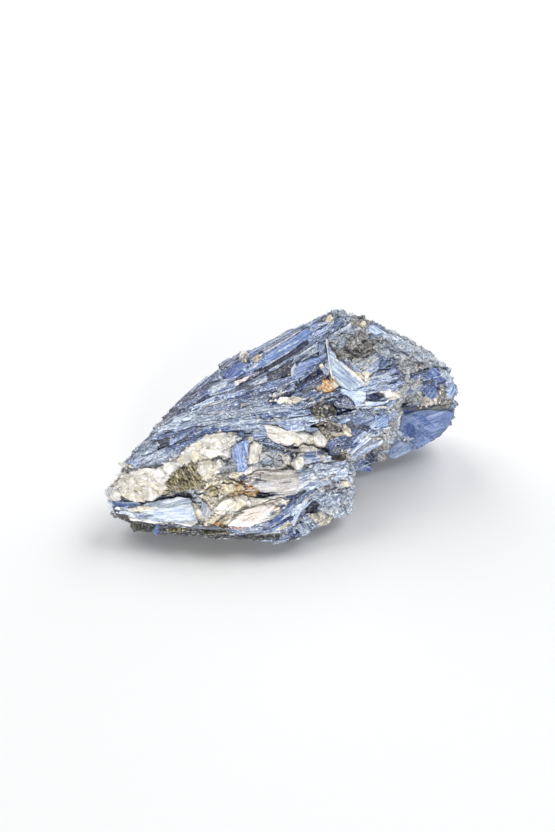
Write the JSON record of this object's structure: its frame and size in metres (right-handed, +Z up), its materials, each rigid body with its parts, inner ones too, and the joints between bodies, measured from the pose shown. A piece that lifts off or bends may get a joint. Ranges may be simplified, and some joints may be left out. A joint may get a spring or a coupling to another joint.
{
  "type": "kyanite mineral specimen",
  "caption": "Hand specimen of blue bladed kyanite grown with milky quartz, olive mica and a rusty crust, resting on its flat underside.",
  "frame": {"origin": "middle of the footprint of the bounding box, on the surface that the stone rests on", "axes": "+Z up from the resting face, +X along the stone's long way from its tapered tip to its blunt end"},
  "size_m": [0.1048, 0.067, 0.0489],
  "materials": {
    "kyanite": "satin"
  },
  "bodies": {
    "root": {"kyanite": "kyanite"}
  },
  "joints": []
}
